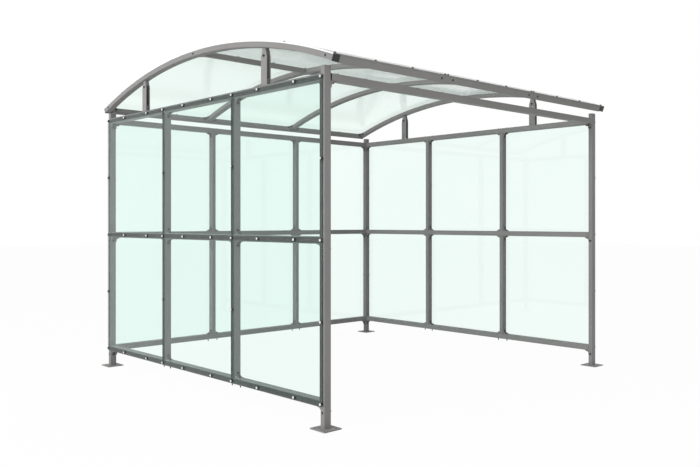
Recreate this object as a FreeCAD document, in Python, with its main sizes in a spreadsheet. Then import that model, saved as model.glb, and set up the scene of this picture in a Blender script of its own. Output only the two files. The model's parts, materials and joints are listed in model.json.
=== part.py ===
import FreeCAD, Part
import os
import re
import Sketcher

# Bicycle shelter: a steel frame glazed on three sides under an arched roof of clear sheets.
# X runs along the open front, Y from the front to the back, Z up.
# The origin is the middle of the plan, on the ground.

V = FreeCAD.Vector
doc = FreeCAD.newDocument("bicycle_shelter")

# Driving dimensions in millimetres
SIZES = {
    # plan, between the centre lines of the corner posts
    "plan_width": 3360,
    "plan_depth": 3100,
    # rectangular tube of the posts, mullions and arches
    "tube_deep": 60,
    "tube_face": 40,
    "tube_wall": 3,
    "tube_round": 5,
    # posts and their plates
    "post_top": 2400,
    "plate_side": 150,
    "plate_thick": 8,
    "anchor_pitch": 100,
    "anchor_hole": 14,
    # wall rails and the beam over the open front: their centres, from the ground or the posts' tops
    "rail_tall": 50,
    "low_rail_height": 170,
    "rail_drop": 75,
    # glass panes and the strips that they bear on
    "glass_thick": 8,
    "glass_gap": 10,
    "glass_lap": 12,
    "strip_thick": 3,
    "strip_wide": 38,
    "strip_gap": 2,
    # roof arches, by their upper side and their clearance above the posts
    "roof_gap": 50,
    "roof_radius": 4800,
    "roof_overhang": 106,
    "eave_deep": 40,
    "eave_tall": 50,
    "purlin_deep": 40,
    "purlin_tall": 40,
    "sheet_thick": 10,
    "sheet_joint": 8,
    "cap_thick": 5,
    "cap_rim": 4,
    "cap_plug": 20,
    "cap_play": 0.5,
    # channel struts between the high side rails and the gable arches
    "strut_setback": 660,
    "strut_deep": 70,
    "strut_wide": 36,
    "strut_wall": 4,
    "strut_tip": 34,
    "strut_taper": 60,
    "strut_clear": 4,
    "lug_deep": 40,
    "lug_long": 52,
    "joint_play": 0.5,
    # cast angle brackets, with a small gusset at each side of the corner
    "bracket_leg": 42,
    "bracket_wide": 40,
    "bracket_thick": 6,
    "bracket_gusset": 24,
    "bracket_cheek": 4,
}

sheet = doc.addObject("Spreadsheet::Sheet", "Sizes")
for line, (alias, number) in enumerate(SIZES.items(), start=1):
    sheet.set("A%d" % line, alias.replace("_", " "))
    sheet.set("B%d" % line, str(number))
    sheet.setAlias("B%d" % line, alias)
doc.recompute()

# Every wall and the roof are three bays wide
BAYS = 3
NODES = []


def sized(text):
    """Expression text in which each size's name points to its cell."""
    return re.sub(r"[a-z_]+", lambda word: prefixed(word.group()), text)


def prefixed(word):
    return "Sizes." + word if word in SIZES else word


def bind(item, path, text):
    item.setExpression(path, sized(text))


def place(item, x, y, z, axis=None, angle=None):
    """Put an object at a point, turned about an axis by a fixed or a worked out angle."""
    if axis is not None:
        start = 1.0 if isinstance(angle, str) else angle
        item.Placement = FreeCAD.Placement(V(0, 0, 0), FreeCAD.Rotation(axis, start))
    if isinstance(angle, str):
        bind(item, "Placement.Rotation.Angle", angle)
    bind(item, "Placement.Base.x", x)
    bind(item, "Placement.Base.y", y)
    bind(item, "Placement.Base.z", z)
    return item


def node(item, label):
    """Give a sub-part its name and list it for writing."""
    item.Label = label
    NODES.append(item)
    return item


def new_body(label):
    body = doc.addObject("PartDesign::Body", label)
    body.Label = label
    return body


def new_sketch(body, label, role):
    """Sketch on one of the origin planes of its own body."""
    sketch = body.newObject("Sketcher::SketchObject", label)
    plane = [item for item in body.Origin.OriginFeatures if item.Role == role][0]
    sketch.AttachmentSupport = [(plane, "")]
    sketch.MapMode = "FlatFace"
    return sketch


def pin_point(sketch, geometry, point, x, y):
    """Hold a point of the sketch at two worked out distances from its origin."""
    for kind, text in (("DistanceX", x), ("DistanceY", y)):
        index = sketch.addConstraint(Sketcher.Constraint(kind, -1, 1, geometry, point, 1.0))
        bind(sketch, "Constraints[%d]" % index, text)


def outline(sketch, corners):
    """Closed run of straight lines through worked out corners, given in order."""
    count = len(corners)
    start = [FreeCAD.Rotation(V(0, 0, 1), 360.0 * turn / count).multVec(V(50, 0, 0)) for turn in range(count)]
    lines = []
    for turn in range(count):
        segment = Part.LineSegment(start[turn], start[(turn + 1) % count])
        lines.append(sketch.addGeometry(segment, False))
    for turn in range(count):
        sketch.addConstraint(Sketcher.Constraint("Coincident", lines[turn - 1], 2, lines[turn], 1))
        pin_point(sketch, lines[turn], 1, *corners[turn])


def box_outline(sketch, across, up):
    """Rectangle centred on the sketch's origin."""
    outline(sketch, [
        ("-(%s) / 2" % across, "-(%s) / 2" % up),
        ("(%s) / 2" % across, "-(%s) / 2" % up),
        ("(%s) / 2" % across, "(%s) / 2" % up),
        ("-(%s) / 2" % across, "(%s) / 2" % up),
    ])


def pad(body, sketch, length):
    """Pad to both sides of the sketch."""
    feature = body.newObject("PartDesign::Pad", sketch.Label + "_pad")
    feature.Profile = sketch
    feature.SideType = "Symmetric"
    bind(feature, "Length", length)
    return feature


def pocket(body, sketch, length):
    """Cut to both sides of the sketch, with proof that it cuts."""
    doc.recompute()
    before = body.Shape.Volume
    feature = body.newObject("PartDesign::Pocket", sketch.Label + "_pocket")
    feature.Profile = sketch
    feature.SideType = "Symmetric"
    bind(feature, "Length", length)
    doc.recompute()
    if not feature.Shape.Volume < before:
        raise RuntimeError(feature.Label + " cuts nothing")
    return feature


def ease_long_edges(body, base, kind, size, amount):
    """Fillet or chamfer the edges that run the whole length of a bar."""
    doc.recompute()
    longest = max(edge.Length for edge in base.Shape.Edges)
    names = []
    for count, edge in enumerate(base.Shape.Edges, start=1):
        if edge.Length > 0.9 * longest:
            names.append("Edge%d" % count)
    feature = body.newObject("PartDesign::" + kind, base.Label + "_eased")
    feature.Base = (base, names)
    bind(feature, size, amount)
    return feature


def round_long_edges(body, base):
    return ease_long_edges(body, base, "Fillet", "Radius", "tube_round")


def bevel_long_edges(body, base):
    """Flats that touch the middle of each rounded corner, with fewer faces for what repeats."""
    return ease_long_edges(body, base, "Chamfer", "Size", "tube_round * (2 - sqrt(2))")


def tube(label, role, across, up, length, ease=bevel_long_edges):
    """Rectangular tube with eased corners, centred on its own origin."""
    body = new_body(label)
    outer = new_sketch(body, label + "_outer", role)
    box_outline(outer, across, up)
    bar = pad(body, outer, length)
    ease(body, bar)
    inner = new_sketch(body, label + "_inner", role)
    box_outline(inner, "(%s) - 2 * tube_wall" % across, "(%s) - 2 * tube_wall" % up)
    pocket(body, inner, "(%s) + 2 * tube_wall" % length)
    return body


def copies(label, pattern, places):
    """One sub-part made of several copies of a piece, none touching another."""
    links = []
    for count, (x, y, z, axis, angle) in enumerate(places):
        link = doc.addObject("App::Link", "%s_%d" % (label, count))
        link.LinkedObject = pattern
        place(link, x, y, z, axis, angle)
        links.append(link)
    group = doc.addObject("Part::Compound", label)
    group.Links = links
    return group


def grouped(label, pieces):
    """One sub-part made of several different pieces, none touching another."""
    group = doc.addObject("Part::Compound", label)
    group.Links = pieces
    return group


UP = V(0, 0, 1)
ALONG_X = V(1, 0, 0)
LEFT = "-plan_width / 2"
RIGHT = "plan_width / 2"
FRONT = "-plan_depth / 2"
BACK = "plan_depth / 2"
CORNERS = {
    "front_left": (LEFT, FRONT),
    "front_right": (RIGHT, FRONT),
    "back_left": (LEFT, BACK),
    "back_right": (RIGHT, BACK),
}

# Posts, upright on square plates
for corner, (x, y) in CORNERS.items():
    tall = "post_top - plate_thick"
    post = tube(corner + "_post", "XY_Plane", "tube_deep", "tube_face", tall, round_long_edges)
    node(place(post, x, y, "(post_top + plate_thick) / 2"), corner + "_post")

# Base plate with its four anchor holes
plate = new_body("base_plate")
plate_sketch = new_sketch(plate, "plate_outline", "XY_Plane")
box_outline(plate_sketch, "plate_side", "plate_side")
pad(plate, plate_sketch, "plate_thick")
holes = new_sketch(plate, "anchor_holes", "XY_Plane")
for side_x in (-1, 1):
    for side_y in (-1, 1):
        start = V(side_x * 50, side_y * 50, 0)
        circle = holes.addGeometry(Part.Circle(start, UP, 5), False)
        pin_point(holes, circle, 3, "%d * anchor_pitch / 2" % side_x, "%d * anchor_pitch / 2" % side_y)
        size = holes.addConstraint(Sketcher.Constraint("Diameter", circle, 10.0))
        bind(holes, "Constraints[%d]" % size, "anchor_hole")
pocket(plate, holes, "2 * plate_thick")
plate_places = [(x, y, "plate_thick / 2", None, None) for x, y in CORNERS.values()]
node(copies("base_plates", plate, plate_places), "base_plates")

# Wall rails between the posts, and the beam over the open front
HIGH_RAIL = "(post_top - rail_drop)"
MIDDLE_RAIL = "(low_rail_height + %s) / 2" % HIGH_RAIL
RAILS = {"low": "low_rail_height", "middle": MIDDLE_RAIL, "high": HIGH_RAIL}
for level, height in RAILS.items():
    for side, x in (("left", LEFT), ("right", RIGHT)):
        rail = tube("%s_%s_rail" % (side, level), "XZ_Plane", "tube_deep", "rail_tall", "plan_depth - tube_face")
        node(place(rail, x, "0", height), "%s_%s_rail" % (side, level))
    rail = tube("back_%s_rail" % level, "YZ_Plane", "tube_deep", "rail_tall", "plan_width - tube_deep")
    node(place(rail, "0", BACK, height), "back_%s_rail" % level)
beam = tube("front_beam", "YZ_Plane", "tube_deep", "rail_tall", "plan_width - tube_deep", round_long_edges)
node(place(beam, "0", FRONT, HIGH_RAIL), "front_beam")

# Mullions at the bay lines, in two lengths parted by the middle rail
LEVELS = ((RAILS["low"], RAILS["middle"]), (RAILS["middle"], RAILS["high"]))


def mullion(label, x, y, across, along):
    pieces = []
    for storey, (below, above) in zip(("lower", "upper"), LEVELS):
        name = "%s_%s" % (label, storey)
        bar = tube(name, "XY_Plane", across, along, "(%s) - (%s) - rail_tall" % (above, below))
        pieces.append(place(bar, x, y, "((%s) + (%s)) / 2" % (below, above)))
    return node(grouped(label, pieces), label)


def bay_line(start, span, turn):
    """Place of a bay line, counted from one corner post."""
    return "%s + %d * %s / %d" % (start, turn, span, BAYS)


for side, x in (("left", LEFT), ("right", RIGHT)):
    for turn, name in ((1, "front"), (2, "rear")):
        line = bay_line(FRONT, "plan_depth", turn)
        mullion("%s_%s_mullion" % (side, name), x, line, "tube_deep", "tube_face")
for turn, name in ((1, "left"), (2, "right")):
    line = bay_line(LEFT, "plan_width", turn)
    mullion("back_%s_mullion" % name, line, BACK, "tube_face", "tube_deep")


# Glass panes outside the frame, three to a storey
def pane(label, role, across, tall):
    body = new_body(label)
    sketch = new_sketch(body, label + "_outline", role)
    box_outline(sketch, across, tall)
    pad(body, sketch, "glass_thick")
    return body


STOREYS = {
    "lower": ("low_rail_height - glass_lap", MIDDLE_RAIL + " - glass_gap / 2"),
    "upper": (MIDDLE_RAIL + " + glass_gap / 2", HIGH_RAIL + " + glass_lap"),
}
GLASS_OUT = "(tube_deep / 2 + strip_thick + glass_thick / 2)"
WALLS = {
    "left": ("YZ_Plane", FRONT, "plan_depth", LEFT + " - " + GLASS_OUT),
    "right": ("YZ_Plane", FRONT, "plan_depth", RIGHT + " + " + GLASS_OUT),
    "back": ("XZ_Plane", LEFT, "plan_width", BACK + " + " + GLASS_OUT),
}
for wall, (role, start, span, away) in WALLS.items():
    edges = [
        ("%s - glass_lap" % start, "%s - glass_gap / 2" % bay_line(start, span, 1)),
        ("%s + glass_gap / 2" % bay_line(start, span, 1), "%s - glass_gap / 2" % bay_line(start, span, 2)),
        ("%s + glass_gap / 2" % bay_line(start, span, 2), "%s + %s + glass_lap" % (start, span)),
    ]
    for storey, (bottom, top) in STOREYS.items():
        panes = []
        for count, (near, far) in enumerate(edges):
            name = "%s_%s_pane_%d" % (wall, storey, count)
            sheet_of_glass = pane(name, role, "(%s) - (%s)" % (far, near), "(%s) - (%s)" % (top, bottom))
            middle = "((%s) + (%s)) / 2" % (near, far)
            height = "((%s) + (%s)) / 2" % (bottom, top)
            spot = (middle, away, height) if wall == "back" else (away, middle, height)
            panes.append(place(sheet_of_glass, *spot))
        label = "%s_%s_glass" % (wall, storey)
        node(grouped(label, panes), label)


# Glazing strips: the outer faces of the bars and posts carry them, and the panes bear on them
def strip(label, size_x, size_y, size_z, x, y, z):
    box = doc.addObject("Part::Box", label)
    for path, text in (("Length", size_x), ("Width", size_y), ("Height", size_z)):
        bind(box, path, text)
    corner = ["(%s) - (%s) / 2" % pair for pair in ((x, size_x), (y, size_y), (z, size_z))]
    return place(box, *corner)


strips = []
BACK_PACKING = "((tube_deep - tube_face) / 2 + strip_thick)"
for wall, (role, start, span, away) in WALLS.items():
    outward = {"left": "-", "right": "+", "back": "+"}[wall]
    base = {"left": LEFT, "right": RIGHT, "back": BACK}[wall]
    middle = "%s %s (tube_deep + strip_thick) / 2" % (base, outward)
    for level, height in RAILS.items():
        name = "strip_%s_%s" % (wall, level)
        if wall == "back":
            run = "%s - tube_deep" % span
            strips.append(strip(name, run, "strip_thick", "strip_wide", "0", middle, height))
        else:
            strips.append(strip(name, "strip_thick", span, "strip_wide", middle, "0", height))
    for storey, (below, above) in zip(("lower", "upper"), LEVELS):
        tall = "(%s) - (%s) - strip_wide - 2 * strip_gap" % (above, below)
        height = "((%s) + (%s)) / 2" % (below, above)
        for turn in (1, 2):
            line = bay_line(start, span, turn)
            name = "strip_%s_%s_%d" % (wall, storey, turn)
            if wall == "back":
                strips.append(strip(name, "strip_wide", "strip_thick", tall, line, middle, height))
            else:
                strips.append(strip(name, "strip_thick", "strip_wide", tall, middle, line, height))
        for turn, inward in ((0, 1), (BAYS, -1)):
            name = "strip_%s_%s_%d" % (wall, storey, turn)
            line = "%s + %d * tube_face / 4" % (bay_line(start, span, turn), inward)
            if wall == "back":
                behind = "%s + tube_face / 2 + %s / 2" % (BACK, BACK_PACKING)
                strips.append(strip(name, "tube_face / 2", BACK_PACKING, tall, line, behind, height))
            else:
                strips.append(strip(name, "strip_thick", "tube_face / 2", tall, middle, line, height))
node(grouped("glazing_strips", strips), "glazing_strips")

# Roof arches: the centre of their curve is on each body's own origin
UNDER_RISE = "sqrt((roof_radius - tube_face) ^ 2 - (plan_depth / 2) ^ 2)"
CURVE_HEIGHT = "(post_top + roof_gap - %s)" % UNDER_RISE
ROOF_PEAK = "(%s + roof_radius)" % CURVE_HEIGHT
HALF_SPAN = "(plan_depth / 2 + roof_overhang)"
END_ANGLE = "asin(%s / roof_radius)" % HALF_SPAN
END_HEIGHT = "(%s + sqrt(roof_radius ^ 2 - %s ^ 2))" % (CURVE_HEIGHT, HALF_SPAN)
INNER_SPAN = "(%s - (eave_deep + joint_play) * cos(%s))" % (HALF_SPAN, END_ANGLE)


def ring_outline(sketch, outside, inside, half_span):
    """Band between two arcs about the origin, with square ends at half a span to each side."""
    radius = float(sheet.get("roof_radius"))
    half = float(sheet.get("plan_depth")) / 2
    rise = (radius ** 2 - half ** 2) ** 0.5
    ends = [V(half / radius, rise / radius, 0), V(-half / radius, rise / radius, 0)]
    near = radius - 20
    far = radius + 20
    arcs = []
    for size in (far, near):
        arc = Part.Arc(ends[0] * size, V(0, size, 0), ends[1] * size)
        arcs.append(sketch.addGeometry(arc, False))
    for arc, size in zip(arcs, (outside, inside)):
        sketch.addConstraint(Sketcher.Constraint("Coincident", arc, 3, -1, 1))
        index = sketch.addConstraint(Sketcher.Constraint("Radius", arc, radius))
        bind(sketch, "Constraints[%d]" % index, size)
    for count, side in enumerate((1, -1)):
        end = sketch.addGeometry(Part.LineSegment(ends[count] * near, ends[count] * far), False)
        spoke = sketch.addGeometry(Part.LineSegment(V(0, 0, 0), ends[count] * radius), True)
        sketch.addConstraint(Sketcher.Constraint("Coincident", spoke, 1, -1, 1))
        index = sketch.addConstraint(Sketcher.Constraint("DistanceX", -1, 1, spoke, 2, side * half))
        bind(sketch, "Constraints[%d]" % index, "%d * %s" % (side, half_span))
        index = sketch.addConstraint(Sketcher.Constraint("DistanceY", -1, 1, spoke, 2, rise))
        bind(sketch, "Constraints[%d]" % index, "sqrt(roof_radius ^ 2 - %s ^ 2)" % half_span)
        sketch.addConstraint(Sketcher.Constraint("Coincident", end, 1, arcs[1], count + 1))
        sketch.addConstraint(Sketcher.Constraint("Coincident", end, 2, arcs[0], count + 1))
        sketch.addConstraint(Sketcher.Constraint("PointOnObject", end, 1, spoke))
        sketch.addConstraint(Sketcher.Constraint("PointOnObject", end, 2, spoke))


def arch(label, x, half_span):
    """Curved tube from eave to eave."""
    body = new_body(label)
    outer = new_sketch(body, label + "_outer", "YZ_Plane")
    ring_outline(outer, "roof_radius", "roof_radius - tube_face", half_span)
    bar = pad(body, outer, "tube_deep")
    bevel_long_edges(body, bar)
    inner = new_sketch(body, label + "_inner", "YZ_Plane")
    ring_outline(inner, "roof_radius - tube_wall", "roof_radius - tube_face + tube_wall", half_span)
    pocket(body, inner, "tube_deep - 2 * tube_wall")
    return node(place(body, x, "0", CURVE_HEIGHT), label)


INNER_LINES = [bay_line(LEFT, "plan_width", 1), bay_line(LEFT, "plan_width", 2)]
arch("left_gable_arch", LEFT, HALF_SPAN)
arch("left_inner_arch", INNER_LINES[0], INNER_SPAN)
arch("right_inner_arch", INNER_LINES[1], INNER_SPAN)
arch("right_gable_arch", RIGHT, HALF_SPAN)


def on_arch_end(side, back, below):
    """Point set back along the arch and below its upper side, from the front or back end."""
    across = "%d * (%s - (%s) * cos(%s) - (%s) * sin(%s))" % (side, HALF_SPAN, back, END_ANGLE, below, END_ANGLE)
    up = "%s + (%s) * sin(%s) - (%s) * cos(%s)" % (END_HEIGHT, back, END_ANGLE, below, END_ANGLE)
    return across, up


# Eave tubes between the gable arches, flush with their ends
ENDS = {"front": -1, "back": 1}
for end, side in ENDS.items():
    long = "plan_width - tube_deep"
    eave = tube(end + "_eave", "YZ_Plane", "eave_deep", "eave_tall", long, round_long_edges)
    across, up = on_arch_end(side, "eave_deep / 2", "eave_tall / 2")
    node(place(eave, "0", across, up, ALONG_X, "%d * %s" % (-side, END_ANGLE)), end + "_eave")

# Purlin under the middle of the roof, in one piece to a bay
purlin = tube("purlin_piece", "YZ_Plane", "purlin_deep", "purlin_tall", "plan_width / %d - tube_deep" % BAYS)
BAY_MIDDLES = ["(%d) * plan_width / %d" % (turn, BAYS) for turn in (-1, 0, 1)]
PURLIN_LINE = ROOF_PEAK + " - purlin_tall / 2"
purlin_places = [(x, "0", PURLIN_LINE, None, None) for x in BAY_MIDDLES]
node(copies("middle_purlin", purlin, purlin_places), "middle_purlin")

# Curved clear sheets on the arches, jointed over the two inner ones
SHEET_EDGES = {
    "left": (LEFT + " - tube_deep / 2", INNER_LINES[0] + " - sheet_joint / 2"),
    "middle": (INNER_LINES[0] + " + sheet_joint / 2", INNER_LINES[1] + " - sheet_joint / 2"),
    "right": (INNER_LINES[1] + " + sheet_joint / 2", RIGHT + " + tube_deep / 2"),
}
for name, (near, far) in SHEET_EDGES.items():
    label = name + "_roof_sheet"
    body = new_body(label)
    sketch = new_sketch(body, label + "_section", "YZ_Plane")
    ring_outline(sketch, "roof_radius + sheet_thick", "roof_radius", HALF_SPAN)
    pad(body, sketch, "(%s) - (%s)" % (far, near))
    node(place(body, "((%s) + (%s)) / 2" % (near, far), "0", CURVE_HEIGHT), label)


# Dark caps that close the ends of the gable arches, each with a plug inside the tube
def end_cap(label, side):
    body = new_body(label)
    face = new_sketch(body, label + "_face", "XZ_Plane")
    outline(face, [
        ("-tube_deep / 2", "-tube_face - cap_rim"),
        ("tube_deep / 2", "-tube_face - cap_rim"),
        ("tube_deep / 2", "cap_rim"),
        ("-tube_deep / 2", "cap_rim"),
    ])
    plate = body.newObject("PartDesign::Pad", label + "_plate")
    plate.Profile = face
    plate.Reversed = side > 0
    bind(plate, "Length", "cap_thick")
    plug_face = new_sketch(body, label + "_plug_face", "XZ_Plane")
    inset = "(tube_wall + cap_play)"
    outline(plug_face, [
        ("-tube_deep / 2 + " + inset, "-tube_face + " + inset),
        ("tube_deep / 2 - " + inset, "-tube_face + " + inset),
        ("tube_deep / 2 - " + inset, "-" + inset),
        ("-tube_deep / 2 + " + inset, "-" + inset),
    ])
    plug = body.newObject("PartDesign::Pad", label + "_plug")
    plug.Profile = plug_face
    plug.Reversed = side < 0
    bind(plug, "Length", "cap_plug")
    return body


caps = []
for end, side in ENDS.items():
    for gable, x in (("left", LEFT), ("right", RIGHT)):
        cap = end_cap("%s_%s_cap" % (gable, end), side)
        across, up = on_arch_end(side, "0", "0")
        caps.append(place(cap, x, across, up, ALONG_X, "%d * %s" % (-side, END_ANGLE)))
node(grouped("arch_end_caps", caps), "arch_end_caps")

# Struts: channels open to the front that stand on the high side rails, forked at the top
STRUT_LINE = "(plan_depth / 2 - strut_setback)"
STRUT_FOOT = HIGH_RAIL + " + rail_tall / 2"
UNDER_ARCH = "(%s + sqrt((roof_radius - tube_face) ^ 2 - %s ^ 2))"
TIP_LINE = "(%s + strut_tip / 2)" % STRUT_LINE
STRUT_TALL = "(%s - (%s) - strut_clear)" % (UNDER_ARCH % (CURVE_HEIGHT, TIP_LINE), STRUT_FOOT)
strut = new_body("strut")
strut_side = new_sketch(strut, "strut_side", "YZ_Plane")
outline(strut_side, [
    ("-strut_deep / 2", "0"),
    ("strut_deep / 2", "0"),
    ("strut_deep / 2", STRUT_TALL + " - strut_taper"),
    ("strut_tip / 2", STRUT_TALL),
    ("-strut_tip / 2", STRUT_TALL),
    ("-strut_deep / 2", STRUT_TALL + " - strut_taper"),
])
pad(strut, strut_side, "strut_wide")
mouth = new_sketch(strut, "strut_mouth", "YZ_Plane")
outline(mouth, [
    ("-strut_deep", "-strut_deep"),
    ("strut_deep / 2 - strut_wall", "-strut_deep"),
    ("strut_deep / 2 - strut_wall", STRUT_TALL + " - strut_taper"),
    ("strut_deep", STRUT_TALL + " - strut_taper"),
    ("strut_deep", STRUT_TALL + " + strut_deep"),
    ("-strut_deep", STRUT_TALL + " + strut_deep"),
])
pocket(strut, mouth, "strut_wide - 2 * strut_wall")
for gable, x in (("left", LEFT), ("right", RIGHT)):
    strut_places = [(x, "%d * %s" % (side, STRUT_LINE), STRUT_FOOT, None, None) for side in ENDS.values()]
    node(copies(gable + "_struts", strut, strut_places), gable + "_struts")


# Cast angle brackets: two legs and two small gussets, with the inner corner at the origin
def bracket(label, role, across, up):
    """Bracket whose legs lie along two axes of the sketch, each given as 1 or -1."""
    body = new_body(label)
    side = new_sketch(body, label + "_side", role)
    outline(side, [
        ("0", "0"),
        ("%d * bracket_leg" % across, "0"),
        ("%d * bracket_leg" % across, "%d * bracket_thick" % up),
        ("%d * bracket_gusset" % across, "%d * bracket_thick" % up),
        ("%d * bracket_thick" % across, "%d * bracket_gusset" % up),
        ("%d * bracket_thick" % across, "%d * bracket_leg" % up),
        ("0", "%d * bracket_leg" % up),
    ])
    pad(body, side, "bracket_wide")
    hollow = new_sketch(body, label + "_hollow", role)
    outline(hollow, [
        ("%d * bracket_thick" % across, "%d * bracket_thick" % up),
        ("%d * (bracket_gusset + bracket_thick)" % across, "%d * bracket_thick" % up),
        ("%d * bracket_thick" % across, "%d * (bracket_gusset + bracket_thick)" % up),
    ])
    pocket(body, hollow, "bracket_wide - 2 * bracket_cheek")
    return body


SIGNS = [(1, 1), (1, -1), (-1, 1), (-1, -1)]
PLANES = {"x": "XZ_Plane", "y": "YZ_Plane", "flat": "XY_Plane"}
BRACKETS = {}
for run, role in PLANES.items():
    for number, (across, up) in enumerate(SIGNS):
        BRACKETS[run, across, up] = bracket("bracket_%s_%d" % (run, number), role, across, up)

wall_brackets = []


def add_bracket(family, pattern, x, y, z, angle=None):
    link = doc.addObject("App::Link", "bracket_copy")
    link.LinkedObject = pattern
    place(link, x, y, z, ALONG_X if angle else None, angle)
    family.append(link)


def wall_bracket(wall, along, height, across, up):
    """Bracket in a wall, at a distance along it from the middle of the plan."""
    if wall in ("left", "right"):
        x = LEFT if wall == "left" else RIGHT
        add_bracket(wall_brackets, BRACKETS["y", across, up], x, along, height)
    else:
        y = FRONT if wall == "front" else BACK
        add_bracket(wall_brackets, BRACKETS["x", across, up], along, y, height)


for wall, (start, span, post) in {
    "left": (FRONT, "plan_depth", "tube_face"),
    "right": (FRONT, "plan_depth", "tube_face"),
    "back": (LEFT, "plan_width", "tube_deep"),
}.items():
    for below, above in LEVELS:
        for turn in (1, 2):
            for side in (-1, 1):
                face = "%s + %d * tube_face / 2" % (bay_line(start, span, turn), side)
                wall_bracket(wall, face, below + " + rail_tall / 2", side, 1)
                wall_bracket(wall, face, above + " - rail_tall / 2", side, -1)
    for height in RAILS.values():
        for side in (-1, 1):
            face = "%d * (%s - %s) / 2" % (side, span, post)
            wall_bracket(wall, face, height + " - rail_tall / 2", -side, -1)
for side in (-1, 1):
    face = "%d * (plan_width - tube_deep) / 2" % side
    wall_bracket("front", face, HIGH_RAIL + " - rail_tall / 2", -side, -1)
node(grouped("wall_brackets", wall_brackets), "wall_brackets")

# Brackets at the eaves and along the purlin, and the lugs that fill the ends of the struts
roof_brackets = []
ARCH_LINES = [LEFT] + INNER_LINES + [RIGHT]
for end, side in ENDS.items():
    across, up = on_arch_end(side, "eave_deep", "tube_face / 2")
    for number, line in enumerate(ARCH_LINES):
        for hand in (-1, 1):
            outside = (number == 0 and hand < 0) or (number == BAYS and hand > 0)
            if not outside:
                x = "%s + %d * tube_deep / 2" % (line, hand)
                tilt = "%d * %s" % (-side, END_ANGLE)
                add_bracket(roof_brackets, BRACKETS["flat", hand, -side], x, across, up, tilt)
for number, line in enumerate(ARCH_LINES):
    for hand in (-1, 1):
        outside = (number == 0 and hand < 0) or (number == BAYS and hand > 0)
        if not outside:
            x = "%s + %d * tube_deep / 2" % (line, hand)
            add_bracket(roof_brackets, BRACKETS["flat", hand, 1], x, "purlin_deep / 2", PURLIN_LINE)
LUG_ANGLE = "asin(%s / (roof_radius - tube_face))" % STRUT_LINE
for side in ENDS.values():
    lug = new_body("strut_lug_%d" % (side + 1))
    lug_side = new_sketch(lug, "lug_side_%d" % (side + 1), "XY_Plane")
    box_outline(lug_side, "strut_wide - 2 * strut_wall", "lug_deep")
    pad(lug, lug_side, "lug_long")
    for x in (LEFT, RIGHT):
        y = "%d * (%s - lug_long / 2 * sin(%s))" % (side, STRUT_LINE, LUG_ANGLE)
        top = UNDER_ARCH % (CURVE_HEIGHT, STRUT_LINE)
        z = "%s - lug_long / 2 * cos(%s)" % (top, LUG_ANGLE)
        add_bracket(roof_brackets, lug, x, y, z, "%d * %s" % (-side, LUG_ANGLE))
        foot = "%d * %s" % (side, STRUT_LINE)
        add_bracket(roof_brackets, lug, x, foot, STRUT_FOOT + " + lug_long / 2")
node(grouped("roof_brackets", roof_brackets), "roof_brackets")

# Proof of every object, then one file for each sub-part
doc.recompute()
for item in doc.Objects:
    if "Invalid" in item.State or "Error" in item.State:
        raise RuntimeError("%s is %s" % (item.Label, item.State))
for item in NODES:
    shape = item.Shape
    if shape.isNull() or not shape.isValid():
        raise RuntimeError(item.Label + " has no valid shape")
os.makedirs("parts", exist_ok=True)
for item in NODES:
    item.Shape.exportStep("parts/%s.step" % item.Label)
    print("%s: %d solids" % (item.Label, len(item.Shape.Solids)))
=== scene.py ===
import bpy
import json
import math
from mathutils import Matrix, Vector


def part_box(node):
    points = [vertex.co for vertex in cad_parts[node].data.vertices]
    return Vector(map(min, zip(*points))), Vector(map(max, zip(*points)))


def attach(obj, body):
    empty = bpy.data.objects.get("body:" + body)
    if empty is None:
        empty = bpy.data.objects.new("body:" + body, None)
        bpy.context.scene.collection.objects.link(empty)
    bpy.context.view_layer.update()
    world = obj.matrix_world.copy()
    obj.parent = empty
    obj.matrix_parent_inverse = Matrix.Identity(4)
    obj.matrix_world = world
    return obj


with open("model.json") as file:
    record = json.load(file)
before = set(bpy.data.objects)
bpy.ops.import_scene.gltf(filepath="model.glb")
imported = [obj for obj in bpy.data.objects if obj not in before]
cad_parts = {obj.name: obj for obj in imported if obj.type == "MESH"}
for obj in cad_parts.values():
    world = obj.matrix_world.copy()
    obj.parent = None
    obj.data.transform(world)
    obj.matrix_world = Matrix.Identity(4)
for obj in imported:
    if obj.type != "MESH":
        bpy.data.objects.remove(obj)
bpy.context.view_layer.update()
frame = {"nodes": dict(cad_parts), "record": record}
nodes = frame["nodes"]

# Photograph: its size, its horizon and the lens that fits it, and where the camera stood, in metres
PHOTO_WIDE = 700
PHOTO_TALL = 467
HORIZON = 222.05
FOCAL_PIXELS = 775.64
SENSOR = 36.0
CAMERA_PLACE = Vector((-5.037, -5.417, 1.367))
CAMERA_TURN = math.radians(42.75)

# Outward side of each glazed wall
OUT = {"left": Vector((-1, 0, 0)), "right": Vector((1, 0, 0)), "back": Vector((0, 1, 0))}
UP = Vector((0, 0, 1))
DOWN = Vector((0, 0, -1))


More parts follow.
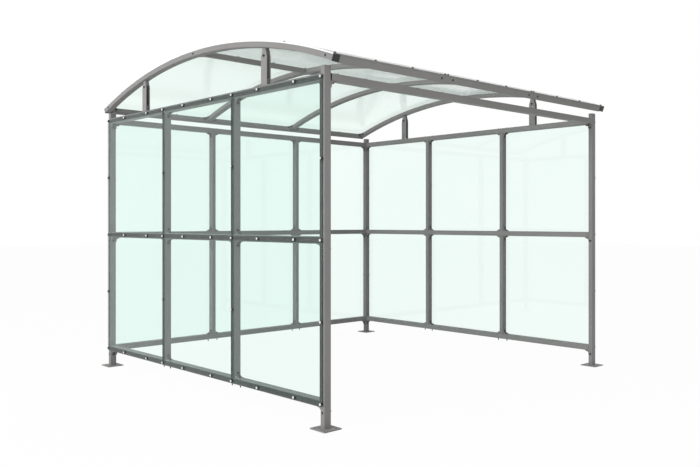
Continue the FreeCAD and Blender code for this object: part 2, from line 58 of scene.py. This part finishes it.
# Materials
class Shader:
    """A material's node tree, with short ways to add and join nodes."""

    def __init__(self, name):
        self.material = bpy.data.materials.new(name)
        self.material.use_nodes = True
        self.tree = self.material.node_tree
        self.tree.nodes.clear()
        self.output = self.add("ShaderNodeOutputMaterial")

    def add(self, kind, **settings):
        made = self.tree.nodes.new(kind)
        for key, value in settings.items():
            setattr(made, key, value)
        return made

    def join(self, source, target):
        self.tree.links.new(source, target)

    def place(self):
        return self.add("ShaderNodeTexCoord").outputs["Object"]

    def noise(self, scale, detail=2.0, stretch=(1, 1, 1)):
        """Noise in the object's own metres, drawn out along an axis by a small stretch."""
        texture = self.add("ShaderNodeTexNoise")
        texture.inputs["Scale"].default_value = scale
        texture.inputs["Detail"].default_value = detail
        mapping = self.add("ShaderNodeMapping")
        mapping.inputs["Scale"].default_value = stretch
        self.join(self.place(), mapping.inputs["Vector"])
        self.join(mapping.outputs["Vector"], texture.inputs["Vector"])
        return texture.outputs["Fac"]

    def ramp(self, source, low, high, start=0.3, end=0.7):
        """Colour that runs from low to high as the source does."""
        made = self.add("ShaderNodeValToRGB")
        made.color_ramp.elements[0].position = start
        made.color_ramp.elements[0].color = (*low, 1)
        made.color_ramp.elements[1].position = end
        made.color_ramp.elements[1].color = (*high, 1)
        self.join(source, made.inputs["Fac"])
        return made.outputs["Color"]

    def span(self, source, low, high):
        """The source's values from 0.3 to 0.7, spread between low and high."""
        made = self.add("ShaderNodeMapRange")
        made.inputs["From Min"].default_value = 0.3
        made.inputs["From Max"].default_value = 0.7
        made.inputs["To Min"].default_value = low
        made.inputs["To Max"].default_value = high
        self.join(source, made.inputs["Value"])
        return made.outputs["Result"]

    def bump(self, source, strength, distance):
        made = self.add("ShaderNodeBump")
        made.inputs["Strength"].default_value = strength
        made.inputs["Distance"].default_value = distance
        self.join(source, made.inputs["Height"])
        return made.outputs["Normal"]

    def principled(self, **settings):
        made = self.add("ShaderNodeBsdfPrincipled")
        for name, value in settings.items():
            made.inputs[name.replace("_", " ")].default_value = value
        return made


def finish_shader(shader, surface):
    shader.join(surface, shader.output.inputs["Surface"])
    return shader.material


def coated_metal(name, low, high, roughness, grain, depth):
    """Powder coating: a fine orange peel, and a tone that drifts a little along the metal."""
    shader = Shader(name)
    body = shader.principled(Metallic=0.0, IOR=1.45, Specular_IOR_Level=0.15)
    shader.join(shader.ramp(shader.noise(2.2, 3.0), low, high), body.inputs["Base Color"])
    shader.join(shader.span(shader.noise(14, 3.0), *roughness), body.inputs["Roughness"])
    shader.join(shader.bump(shader.noise(grain, 3.0), 0.35, depth), body.inputs["Normal"])
    return finish_shader(shader, body.outputs["BSDF"])


def bare_metal(name, low, high, metallic):
    """Zinc-plated or stainless hardware, lightly brushed."""
    shader = Shader(name)
    body = shader.principled(Metallic=metallic, IOR=1.5)
    shader.join(shader.ramp(shader.noise(60, 2.0), low, high), body.inputs["Base Color"])
    shader.join(shader.span(shader.noise(180, 2.0), 0.28, 0.42), body.inputs["Roughness"])
    shader.join(shader.bump(shader.noise(900, 2.0), 0.2, 0.0002), body.inputs["Normal"])
    return finish_shader(shader, body.outputs["BSDF"])


def moulded(name, low, high, roughness, grain):
    """Rubber, plastic or a black coating with a fine grain."""
    shader = Shader(name)
    body = shader.principled(Metallic=0.0, IOR=1.4)
    shader.join(shader.ramp(shader.noise(9, 2.0), low, high), body.inputs["Base Color"])
    shader.join(shader.span(shader.noise(25, 2.0), *roughness), body.inputs["Roughness"])
    shader.join(shader.bump(shader.noise(grain, 2.0), 0.3, 0.0003), body.inputs["Normal"])
    return finish_shader(shader, body.outputs["BSDF"])


def clear_for_lamps(shader, glass, tint):
    """Glass for sight and reflections, and a plain tint for light that falls through it."""
    path = shader.add("ShaderNodeLightPath")
    either = shader.add("ShaderNodeMath", operation="MAXIMUM")
    shader.join(path.outputs["Is Shadow Ray"], either.inputs[0])
    shader.join(path.outputs["Is Diffuse Ray"], either.inputs[1])
    film = shader.add("ShaderNodeBsdfTransparent")
    film.inputs["Color"].default_value = (*tint, 1)
    mix = shader.add("ShaderNodeMixShader")
    shader.join(either.outputs[0], mix.inputs["Fac"])
    shader.join(glass.outputs["BSDF"], mix.inputs[1])
    shader.join(film.outputs["BSDF"], mix.inputs[2])
    return finish_shader(shader, mix.outputs["Shader"])


def pane_glass():
    """Toughened glass: faintly green, with the roller waves of the tempering oven."""
    shader = Shader("toughened_glass")
    glass = shader.principled(Transmission_Weight=1.0, IOR=1.3, Roughness=0.0)
    tone = shader.ramp(shader.noise(0.8, 2.0), (0.875, 0.975, 0.94), (0.895, 0.985, 0.955))
    shader.join(tone, glass.inputs["Base Color"])
    wave = shader.noise(3.0, 1.0, stretch=(0.4, 0.4, 2.5))
    shader.join(shader.bump(wave, 0.08, 0.0006), glass.inputs["Normal"])
    return clear_for_lamps(shader, glass, (0.86, 0.91, 0.9))


def multiwall():
    """Hollow roof sheet: slightly milky, with its ribs showing as fine lines down the slope."""
    shader = Shader("multiwall_sheet")
    glass = shader.principled(Transmission_Weight=1.0, IOR=1.12, Roughness=0.12)
    ribs = shader.add("ShaderNodeTexWave", wave_type="BANDS", bands_direction="X")
    ribs.inputs["Scale"].default_value = 20.0
    ribs.inputs["Distortion"].default_value = 0.0
    shader.join(shader.place(), ribs.inputs["Vector"])
    tone = shader.ramp(ribs.outputs["Fac"], (0.865, 0.965, 0.925), (0.89, 0.985, 0.945), 0.0, 0.5)
    shader.join(tone, glass.inputs["Base Color"])
    shader.join(shader.bump(ribs.outputs["Fac"], 0.15, 0.0006), glass.inputs["Normal"])
    return clear_for_lamps(shader, glass, (0.88, 0.9, 0.89))


PAINT = coated_metal("powder_coat", (0.222, 0.218, 0.214), (0.246, 0.242, 0.238), (0.42, 0.55), 700, 0.0004)
CAST = coated_metal("coated_casting", (0.2, 0.199, 0.195), (0.225, 0.224, 0.22), (0.5, 0.65), 260, 0.0008)
GLASS = pane_glass()
ROOF = multiwall()
RUBBER = moulded("glazing_tape", (0.078, 0.08, 0.078), (0.098, 0.1, 0.098), (0.6, 0.75), 500)
CAP = moulded("cap_moulding", (0.02, 0.02, 0.02), (0.03, 0.03, 0.03), (0.4, 0.55), 400)
# pale colour of the strips on the panes' top edges: a painted highlight
PANE_HIGHLIGHT = moulded("painted_pane_highlight", (0.66, 0.74, 0.71), (0.72, 0.8, 0.77), (0.5, 0.6), 900)
TAPE = moulded("edge_tape", (0.72, 0.74, 0.73), (0.78, 0.8, 0.79), (0.4, 0.55), 300)
BRIGHT = bare_metal("bright_zinc", (0.66, 0.67, 0.66), (0.78, 0.79, 0.78), 0.6)
DARK = moulded("black_bolt", (0.022, 0.023, 0.022), (0.034, 0.035, 0.034), (0.42, 0.55), 400)
# black washers: the rubber's own colour, and under the glass fixings also painted shade for their shaded
# side
WASHER = moulded("black_washer", (0.02, 0.02, 0.02), (0.03, 0.03, 0.03), (0.5, 0.6), 500)

SLOT_MATERIALS = {
    "frame_paint": PAINT,
    "bracket_paint": CAST,
    "safety_glass": GLASS,
    "glazing_rubber": RUBBER,
    "roof_sheet": ROOF,
    "cap_plastic": CAP,
}
for part in frame["record"]["subparts"]:
    finish = SLOT_MATERIALS[part["material_slot"]]
    for slot in nodes[part["node"]].material_slots:
        slot.material = finish


# Small hardware, where each family is one mesh of many like pieces
class Family:
    """Mesh that gathers round and six-sided pieces, each with its own material."""

    def __init__(self, name, slot, materials):
        self.name = name
        self.slot = slot
        self.materials = materials
        self.points = []
        self.faces = []
        self.kinds = []
        self.smooth = []

    def turned(self, place, direction, profile, material, sides=20):
        """Solid turned about an axis through place: profile gives radius and height up the axis."""
        turn = direction.to_track_quat("Z", "Y").to_matrix()
        rings = []
        for radius, height in profile:
            ring = []
            count = 1 if radius == 0 else sides
            for step in range(count):
                angle = 2 * math.pi * step / sides
                local = Vector((radius * math.cos(angle), radius * math.sin(angle), height))
                ring.append(len(self.points))
                self.points.append(place + turn @ local)
            rings.append(ring)
        for below, above in zip(rings, rings[1:]):
            for step in range(sides):
                ahead = (step + 1) % sides
                if len(below) == 1:
                    self.face((below[0], above[ahead], above[step]), material, sides)
                elif len(above) == 1:
                    self.face((below[step], below[ahead], above[0]), material, sides)
                else:
                    self.face((below[step], below[ahead], above[ahead], above[step]), material, sides)

    def face(self, corners, material, sides):
        self.faces.append(corners)
        self.kinds.append(self.materials.index(material))
        self.smooth.append(sides > 6)

    def make(self):
        mesh = bpy.data.meshes.new(self.name)
        mesh.from_pydata(self.points, [], self.faces)
        for material in self.materials:
            mesh.materials.append(material)
        mesh.polygons.foreach_set("material_index", self.kinds)
        mesh.polygons.foreach_set("use_smooth", self.smooth)
        mesh.update()
        mesh.set_sharp_from_angle(angle=math.radians(35))
        made = bpy.data.objects.new(self.name, mesh)
        bpy.context.scene.collection.objects.link(made)
        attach(made, "root")


def disc(radius, thick, ease=0.0008):
    """Profile of a flat round piece with an eased rim, closed at both ends."""
    return [(0, 0), (radius, 0), (radius, thick - ease), (radius - ease, thick), (0, thick)]


def dome(radius, tall, steps=5):
    """Profile of a low domed head."""
    rim = tall * 0.3
    arc = [(0, 0), (radius, 0), (radius, rim)]
    for step in range(1, steps):
        angle = math.pi / 2 * step / steps
        arc.append((radius * math.cos(angle), rim + (tall - rim) * math.sin(angle)))
    return arc + [(0, tall)]


def hexagon(across_flats, tall):
    """Profile of a six-sided head with the corners of its top taken off."""
    corner = across_flats / math.sqrt(3)
    return [(0, 0), (corner, 0), (corner, tall * 0.85), (corner * 0.88, tall), (0, tall)]


def point(radius, shank, tip):
    """Profile of a screw's end: a threaded shank and a drill point."""
    return [(radius, 0), (radius, shank), (0, shank + tip)]


def middle(node):
    low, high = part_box(node)
    return (low + high) / 2


def outer_face(node, direction):
    """How far a node reaches along a direction."""
    low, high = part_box(node)
    return max(low.dot(direction), high.dot(direction))


POSTS = {name: middle(name + "_post") for name in ("front_left", "front_right", "back_left", "back_right")}
RAIL_HEIGHTS = [middle("left_%s_rail" % level).z for level in ("low", "middle", "high")]
BAYS = 3

# Glass fixings: a thick black washer against the pane, and a bright cap on it. The washer's black is partly
# the rubber's own colour and partly painted shade for the fixing's shaded side
HEAD_RADIUS = 0.0088
HEAD_TALL = 0.004
HEAD_EASE = 0.0012
WASHER_RADIUS = 0.0105
WASHER_TALL = 0.009
BETWEEN = (0.272, 0.68)


def wall_lines(wall):
    """The glazed wall's two post lines, as points on the ground."""
    ends = {"left": ("front_left", "back_left"), "right": ("front_right", "back_right")}
    start, end = ends.get(wall, ("back_left", "back_right"))
    return POSTS[start].xy.to_3d(), POSTS[end].xy.to_3d()


def glass_fixings(wall):
    family = Family(wall + "_glass_fixings", "frame_paint", [BRIGHT, WASHER])
    outward = OUT[wall]
    start, end = wall_lines(wall)
    face = outer_face(wall + "_lower_glass", outward)
    along = (end - start) / BAYS
    storeys = [(low + high) / 2 for low, high in zip(RAIL_HEIGHTS, RAIL_HEIGHTS[1:])]
    spots = []
    for bay in range(BAYS + 1):
        line = start + along * bay
        spots += [line + UP * height for height in RAIL_HEIGHTS + storeys]
        if bay < BAYS:
            between = [line + along * share for share in BETWEEN]
            spots += [foot + UP * height for foot in between for height in RAIL_HEIGHTS]
    for spot in spots:
        place = spot + outward * (face - spot.dot(outward))
        family.turned(place, outward, disc(WASHER_RADIUS, WASHER_TALL), WASHER)
        cap = place + outward * WASHER_TALL
        family.turned(cap, outward, disc(HEAD_RADIUS, HEAD_TALL, HEAD_EASE), BRIGHT)
    family.make()


for wall in OUT:
    glass_fixings(wall)

# Painted highlight: pale strips on the ground top edges of the upper panes, where they catch the light
PANE_HIGHLIGHT_THICK = 0.0008
PANE_GAP = 0.010
BOX_FACES = ((0, 2, 6, 4), (1, 5, 7, 3), (0, 1, 3, 2), (4, 6, 7, 5), (0, 4, 5, 1), (2, 3, 7, 6))


def painted_pane_highlights(wall):
    """Pale satin facets along the tops of a wall's upper panes, a painted highlight on their top edges."""
    low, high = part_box(wall + "_upper_glass")
    outward = OUT[wall]
    start, end = wall_lines(wall)
    along = (end - start) / BAYS
    unit = along.normalized()
    points = []
    for bay in range(BAYS):
        first = start + along * bay + unit * PANE_GAP / 2 if bay else low
        last = start + along * (bay + 1) - unit * PANE_GAP / 2 if bay < BAYS - 1 else high
        for face in (low, high):
            for place in (first, last):
                # the pane's face gives the place across the wall, and its end the place along it
                x, y = (face.x, place.y) if outward.x else (place.x, face.y)
                points += [(x, y, high.z), (x, y, high.z + PANE_HIGHLIGHT_THICK)]
    faces = []
    for base in range(0, len(points), 8):
        faces += [[base + corner for corner in face] for face in BOX_FACES]
    mesh = bpy.data.meshes.new(wall + "_painted_pane_highlights")
    mesh.from_pydata(points, [], faces)
    mesh.materials.append(PANE_HIGHLIGHT)
    mesh.update()
    made = bpy.data.objects.new(wall + "_painted_pane_highlights", mesh)
    bpy.context.scene.collection.objects.link(made)
    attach(made, "root")


for wall in OUT:
    painted_pane_highlights(wall)

# Screws and bolts of the frame
BRACKET_THICK = 0.006
SCREW_ALONG = 0.034
TUBE_DEEP = 0.060
TUBE_FACE = 0.040
RAIL_TALL = 0.050
SCREW_HEAD = 0.013
SCREW_HEAD_TALL = 0.007
SCREW_FLANGE = 0.00806
SCREW_FLANGE_THICK = 0.0015
SCREW_RADIUS = 0.005
# Shank and drill point, as far as they show below the low rails and above the high ones
LOW_TIP = (0.016, 0.011)
HIGH_TIP = (0.002, 0.009)


def screw(family, corner, leg, inward, tip=None):
    """Screw on a bracket's leg: its head inside, and its point, if it has one, beyond the rail."""
    spot = corner + leg * SCREW_ALONG - inward * BRACKET_THICK
    family.turned(spot, -inward, disc(SCREW_FLANGE, SCREW_FLANGE_THICK, 0.0004), DARK)
    head = spot - inward * SCREW_FLANGE_THICK
    family.turned(head, -inward, hexagon(SCREW_HEAD, SCREW_HEAD_TALL), DARK, sides=6)
    if tip:
        exit_spot = corner + leg * SCREW_ALONG + inward * RAIL_TALL
        family.turned(exit_spot, inward, point(SCREW_RADIUS, *tip), DARK, sides=12)


def wall_bracket_screws():
    """Screws of the brackets at the mullions and posts, with their points below and above the walls."""
    family = Family("wall_bracket_screws", "bracket_paint", [DARK])
    half = TUBE_FACE / 2
    tall = RAIL_TALL / 2
    low_rail = RAIL_HEIGHTS[0]
    high_rail = RAIL_HEIGHTS[-1]
    for wall in OUT:
        start, end = wall_lines(wall)
        along = (end - start) / BAYS
        unit = along.normalized()
        for line in (start + along, start + along * 2):
            for side in (-1, 1):
                for low, high in zip(RAIL_HEIGHTS, RAIL_HEIGHTS[1:]):
                    foot = line + unit * side * half + UP * (low + tall)
                    head = line + unit * side * half + UP * (high - tall)
                    screw(family, foot, unit * side, DOWN, LOW_TIP if low == low_rail else None)
                    screw(family, foot, UP, -unit * side)
                    screw(family, head, unit * side, UP, HIGH_TIP if high == high_rail else None)
                    screw(family, head, DOWN, -unit * side)
        post_half = TUBE_DEEP / 2 if wall == "back" else half
        for place, inside in ((start, unit), (end, -unit)):
            for height in RAIL_HEIGHTS:
                corner = place + inside * post_half + UP * (height - tall)
                screw(family, corner, inside, UP)
                screw(family, corner, DOWN, -inside)
    for name, inside in (("front_left", Vector((1, 0, 0))), ("front_right", Vector((-1, 0, 0)))):
        corner = POSTS[name].xy.to_3d() + inside * TUBE_DEEP / 2 + UP * (high_rail - tall)
        screw(family, corner, inside, UP)
        screw(family, corner, DOWN, -inside)
    family.make()


WASHER_THICK = 0.002


def bolt(family, spot, out, flats, tall, washer=0.0):
    """Bolt head or nut, with a washer under it when the washer's radius is given."""
    if washer:
        family.turned(spot, out, disc(washer, WASHER_THICK, 0.0005), DARK)
        spot = spot + out * WASHER_THICK
    family.turned(spot, out, hexagon(flats, tall), DARK, sides=6)


def through_bolt(family, place, out, reach, flats, tall, thread):
    """Bolt through a tube: a head at one side, a nut and the thread's end at the other."""
    bolt(family, place + out * reach, out, flats, tall)
    far = place - out * reach
    bolt(family, far, -out, flats, tall * 0.8)
    family.turned(far - out * tall * 0.8, -out, disc(flats * 0.3, thread, 0.001), DARK, sides=12)


POST_BOLT_DROP = 0.058
POST_BOLT_RADIUS = 0.0085
POST_BOLT_TALL = 0.005
POST_NUT = 0.013
POST_NUT_TALL = 0.0065
POST_NUT_WASHER = 0.009
THREAD_RADIUS = 0.004
THREAD_SHOWS = 0.008


def post_bolts():
    """Three bolts across each corner post, below the rails, with their nuts inside."""
    family = Family("post_bolts", "bracket_paint", [DARK])
    for name, place in POSTS.items():
        out = Vector((-1 if "left" in name else 1, 0, 0))
        for height in RAIL_HEIGHTS:
            spot = place.xy.to_3d() + UP * (height - POST_BOLT_DROP)
            face = spot + out * TUBE_DEEP / 2
            family.turned(face, out, dome(POST_BOLT_RADIUS, POST_BOLT_TALL), DARK)
            inner = spot - out * TUBE_DEEP / 2
            bolt(family, inner, -out, POST_NUT, POST_NUT_TALL, POST_NUT_WASHER)
            end = inner - out * (WASHER_THICK + POST_NUT_TALL)
            family.turned(end, -out, disc(THREAD_RADIUS, THREAD_SHOWS, 0.001), DARK, sides=12)
    family.make()


# Roof curve, from the boxes of a gable arch and of the sheets
ROOF_RADIUS = 4.800
SHEET_THICK = 0.010
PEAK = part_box("left_gable_arch")[1].z
CURVE_CENTRE = PEAK - ROOF_RADIUS
HALF_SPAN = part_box("left_roof_sheet")[1].y
ARCHES = ("left_gable_arch", "left_inner_arch", "right_inner_arch", "right_gable_arch")
ARCH_LINES = [middle(name).x for name in ARCHES]
END_ANGLE = math.asin(HALF_SPAN / (ROOF_RADIUS + SHEET_THICK))
GABLES = ((ARCH_LINES[0], OUT["left"]), (ARCH_LINES[-1], OUT["right"]))


def on_curve(x, angle, radius):
    """Point over the roof's curve and the way out of it, at an angle from its peak towards the back."""
    out = Vector((0, math.sin(angle), math.cos(angle)))
    return Vector((x, 0, CURVE_CENTRE)) + out * radius, out


ROOF_SCREW_INSET = 0.020
ROOF_SCREW_ASIDE = 0.017
ROOF_WASHER = 0.0095
ROOF_WASHER_THICK = 0.003
ROOF_SCREW_HEAD = 0.009
ROOF_SCREW_TALL = 0.005


def roof_screws():
    """Screws with dark washers along the eaves, the purlin and the gable arches."""
    family = Family("roof_screws", "bracket_paint", [DARK, WASHER])
    top = ROOF_RADIUS + SHEET_THICK
    inset = END_ANGLE - ROOF_SCREW_INSET / top
    spots = []
    for number, line in enumerate(ARCH_LINES):
        if 0 < number < BAYS:
            pair = (line - ROOF_SCREW_ASIDE, line + ROOF_SCREW_ASIDE)
            spots += [(x, angle) for x in pair for angle in (-inset, 0, inset)]
        else:
            spots += [(line, inset * step / 3) for step in range(-3, 4)]
        if number < BAYS:
            bay = ARCH_LINES[number + 1] - line
            thirds = (line + bay / 3, line + bay * 2 / 3)
            spots += [(x, angle) for x in thirds for angle in (-inset, 0, inset)]
    for x, angle in spots:
        place, out = on_curve(x, angle, top)
        family.turned(place, out, disc(ROOF_WASHER, ROOF_WASHER_THICK, 0.0012), WASHER)
        head = place + out * ROOF_WASHER_THICK
        family.turned(head, out, hexagon(ROOF_SCREW_HEAD, ROOF_SCREW_TALL), DARK, sides=6)
    family.make()


EAVE_DEEP = 0.040
PURLIN_HALF = 0.020
EAVE_BOLT_RADIUS = 0.0075
GABLE_BOLT_RADIUS = 0.008
ROOF_BOLT_TALL = 0.004
# Bolts on the gable arches' outer faces, measured along the curve from their ends and their peak
FROM_ARCH_END = 0.074
FROM_ARCH_PEAK = 0.054


def roof_bolts():
    """Bolts of the brackets under the roof, in the arches, eaves and purlin."""
    family = Family("roof_bolts", "bracket_paint", [DARK])
    eave_middle = ROOF_RADIUS - TUBE_FACE / 2
    for number, line in enumerate(ARCH_LINES):
        for hand in (-1, 1):
            if (number == 0 and hand < 0) or (number == BAYS and hand > 0):
                continue
            side = Vector((hand, 0, 0))
            for end in (-1, 1):
                place = on_curve(line, end * END_ANGLE, eave_middle)[0]
                inward = Vector((0, -end * math.cos(END_ANGLE), math.sin(END_ANGLE)))
                corner = place + inward * EAVE_DEEP + side * TUBE_DEEP / 2
                screw(family, corner, side, -inward)
                screw(family, corner, inward, -side)
                if 0 < number < BAYS:
                    face = place + side * (TUBE_DEEP / 2 + SCREW_ALONG)
                    family.turned(face, -inward, disc(EAVE_BOLT_RADIUS, ROOF_BOLT_TALL, 0.001), DARK)
            corner = Vector((line + hand * TUBE_DEEP / 2, PURLIN_HALF, PEAK - PURLIN_HALF))
            back = Vector((0, 1, 0))
            screw(family, corner, side, -back)
            screw(family, corner, back, -side)
    near_end = END_ANGLE - FROM_ARCH_END / ROOF_RADIUS
    for line, out in GABLES:
        for angle in (-near_end, near_end, FROM_ARCH_PEAK / ROOF_RADIUS):
            face = on_curve(line, angle, eave_middle)[0] + out * TUBE_DEEP / 2
            family.turned(face, out, disc(GABLE_BOLT_RADIUS, ROOF_BOLT_TALL, 0.001), DARK)
    family.make()


STRUT_TOP_BOLT = 2.567
STRUT_FOOT_RIVET = 0.040
STRUT_WIDE = 0.036
STRUT_DEEP = 0.070
STRUT_BOLT = 0.016
STRUT_BOLT_TALL = 0.008
STRUT_THREAD = 0.012
RIVET_RADIUS = 0.005
RIVET_TALL = 0.0015


def strut_bolts():
    """A bolt across the fork of every strut with its nut inside, and a painted rivet at its foot."""
    family = Family("strut_bolts", "bracket_paint", [DARK, PAINT])
    low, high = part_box("left_struts")
    for line, out in GABLES:
        for y in (low.y + STRUT_DEEP / 2, high.y - STRUT_DEEP / 2):
            top = Vector((line, y, STRUT_TOP_BOLT))
            through_bolt(family, top, out, STRUT_WIDE / 2, STRUT_BOLT, STRUT_BOLT_TALL, STRUT_THREAD)
            foot = Vector((line, y, low.z + STRUT_FOOT_RIVET))
            for side in (out, -out):
                face = foot + side * STRUT_WIDE / 2
                family.turned(face, side, dome(RIVET_RADIUS, RIVET_TALL), PAINT)
    family.make()


wall_bracket_screws()
post_bolts()
roof_screws()
roof_bolts()
strut_bolts()

# Edges of the hollow roof sheets: pale tape at the gables, and a thin profile in the frame's
# grey at the eaves
TAPE_THICK = 0.0008
TAPE_STEPS = 40


def tape_mesh(name, corners_at, count, material):
    """Strip of four-sided rings with closed ends."""
    points = []
    for step in range(count):
        points += corners_at(step)
    faces = [(3, 2, 1, 0)]
    for step in range(count - 1):
        base = 4 * step
        for turn in range(4):
            ahead = (turn + 1) % 4
            faces.append((base + turn, base + ahead, base + 4 + ahead, base + 4 + turn))
    last = 4 * (count - 1)
    faces.append((last, last + 1, last + 2, last + 3))
    mesh = bpy.data.meshes.new(name)
    mesh.from_pydata(points, [], faces)
    mesh.materials.append(material)
    mesh.update()
    made = bpy.data.objects.new(name, mesh)
    bpy.context.scene.collection.objects.link(made)
    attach(made, "root")


def gable_tape(name, x, out):
    """Tape on the curved edge of an outer sheet."""
    def corners_at(step):
        angle = END_ANGLE * (2 * step / TAPE_STEPS - 1)
        ring = []
        for radius, away in ((0.0, 0.0), (0.0, TAPE_THICK), (SHEET_THICK, TAPE_THICK), (SHEET_THICK, 0.0)):
            ring.append(on_curve(x + out * away, angle, ROOF_RADIUS + radius)[0])
        return ring
    tape_mesh(name, corners_at, TAPE_STEPS + 1, TAPE)


def eave_edging(name, end):
    """Thin profile on the straight edges of the sheets along an eave."""
    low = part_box("left_roof_sheet")[0].x
    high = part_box("right_roof_sheet")[1].x
    away = Vector((0, end * math.cos(END_ANGLE), -math.sin(END_ANGLE)))

    def corners_at(step):
        ring = []
        for radius, out in ((0.0, 0.0), (0.0, TAPE_THICK), (SHEET_THICK, TAPE_THICK), (SHEET_THICK, 0.0)):
            place, up = on_curve(low if step == 0 else high, end * END_ANGLE, ROOF_RADIUS)
            ring.append(place + up * radius + away * out)
        return ring
    tape_mesh(name, corners_at, 2, PAINT)


gable_tape("left_gable_tape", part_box("left_roof_sheet")[0].x, -1)
gable_tape("right_gable_tape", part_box("right_roof_sheet")[1].x, 1)
eave_edging("front_eave_edging", -1)
eave_edging("back_eave_edging", 1)

# Studio: a pale floor, a white surround and soft lamps
FLOOR_HALF = 40.0
FLOOR_DROP = 0.001
FLOOR_GLOW = 0.96
SURROUND_LEVEL = 0.54
KEY_LEVEL = 1.35
KEY_TOWARDS = (0.85, 0.05, -0.6)
KEY_SPREAD = 35
SIDE_WATTS = 110.0
SIDE_PLACE = (-6.5, 1.5, 2.2)
SIDE_TARGET = (-1.7, 0.5, 1.2)
SIDE_SIZE = 3.0
FRONT_WATTS = 60.0
FRONT_PLACE = (-4.0, -5.0, 3.5)
FRONT_TARGET = (-1.2, -1.5, 1.5)
FRONT_SIZE = 2.0
WHITE = (1, 1, 1, 1)


def seen_directly(shader):
    """1 for what the camera, a reflection or clear glass sees, and 0 for what lights the object."""
    path = shader.add("ShaderNodeLightPath")
    total = None
    for name in ("Is Camera Ray", "Is Glossy Ray", "Is Transmission Ray"):
        if total is None:
            total = path.outputs[name]
            continue
        either = shader.add("ShaderNodeMath", operation="MAXIMUM")
        shader.join(total, either.inputs[0])
        shader.join(path.outputs[name], either.inputs[1])
        total = either.outputs[0]
    return total


def floor():
    half = FLOOR_HALF
    mesh = bpy.data.meshes.new("floor")
    plan = ((-half, -half), (half, -half), (half, half), (-half, half))
    corners = [(x, y, -FLOOR_DROP) for x, y in plan]
    mesh.from_pydata(corners, [], [(0, 1, 2, 3)])
    made = bpy.data.objects.new("floor", mesh)
    bpy.context.scene.collection.objects.link(made)
    shader = Shader("pale_floor")
    matt = shader.add("ShaderNodeBsdfDiffuse")
    matt.inputs["Color"].default_value = (0.8, 0.8, 0.8, 1)
    glow = shader.add("ShaderNodeEmission")
    glow.inputs["Color"].default_value = WHITE
    share = shader.add("ShaderNodeMath", operation="MULTIPLY")
    share.inputs[1].default_value = FLOOR_GLOW
    shader.join(seen_directly(shader), share.inputs[0])
    mix = shader.add("ShaderNodeMixShader")
    shader.join(share.outputs[0], mix.inputs["Fac"])
    shader.join(matt.outputs["BSDF"], mix.inputs[1])
    shader.join(glow.outputs["Emission"], mix.inputs[2])
    mesh.materials.append(finish_shader(shader, mix.outputs["Shader"]))


def surround():
    world = bpy.data.worlds.new("studio")
    bpy.context.scene.world = world
    world.use_nodes = True
    tree = world.node_tree
    tree.nodes.clear()
    path = tree.nodes.new("ShaderNodeLightPath")
    level = tree.nodes.new("ShaderNodeMapRange")
    level.inputs["To Min"].default_value = 1.0
    level.inputs["To Max"].default_value = SURROUND_LEVEL
    tree.links.new(path.outputs["Is Diffuse Ray"], level.inputs["Value"])
    back = tree.nodes.new("ShaderNodeBackground")
    back.inputs["Color"].default_value = WHITE
    tree.links.new(level.outputs["Result"], back.inputs["Strength"])
    out = tree.nodes.new("ShaderNodeOutputWorld")
    tree.links.new(back.outputs["Background"], out.inputs["Surface"])


def sun(name, level, towards, spread):
    """Soft lamp that shines along a direction."""
    light = bpy.data.lights.new(name, "SUN")
    light.energy = level
    light.angle = math.radians(spread)
    made = bpy.data.objects.new(name, light)
    bpy.context.scene.collection.objects.link(made)
    made.rotation_mode = "QUATERNION"
    made.rotation_quaternion = Vector(towards).to_track_quat("-Z", "Y")


def softbox(name, watts, place, target, size):
    """Square soft lamp that shines from a place towards a target and shows in no reflection."""
    light = bpy.data.lights.new(name, "AREA")
    light.energy = watts
    light.size = size
    made = bpy.data.objects.new(name, light)
    bpy.context.scene.collection.objects.link(made)
    made.location = place
    made.visible_glossy = False
    made.rotation_mode = "QUATERNION"
    made.rotation_quaternion = (Vector(target) - Vector(place)).to_track_quat("-Z", "Y")


def camera():
    data = bpy.data.cameras.new("camera")
    data.sensor_width = SENSOR
    data.lens = FOCAL_PIXELS * SENSOR / PHOTO_WIDE
    data.shift_y = (HORIZON - PHOTO_TALL / 2) / PHOTO_WIDE
    made = bpy.data.objects.new("camera", data)
    bpy.context.scene.collection.objects.link(made)
    made.location = CAMERA_PLACE
    made.rotation_euler = (math.pi / 2, 0, -CAMERA_TURN)
    bpy.context.scene.camera = made


floor()
surround()
sun("key", KEY_LEVEL, KEY_TOWARDS, KEY_SPREAD)
softbox("side", SIDE_WATTS, SIDE_PLACE, SIDE_TARGET, SIDE_SIZE)
softbox("front", FRONT_WATTS, FRONT_PLACE, FRONT_TARGET, FRONT_SIZE)
camera()
bpy.context.scene.view_settings.view_transform = "Standard"
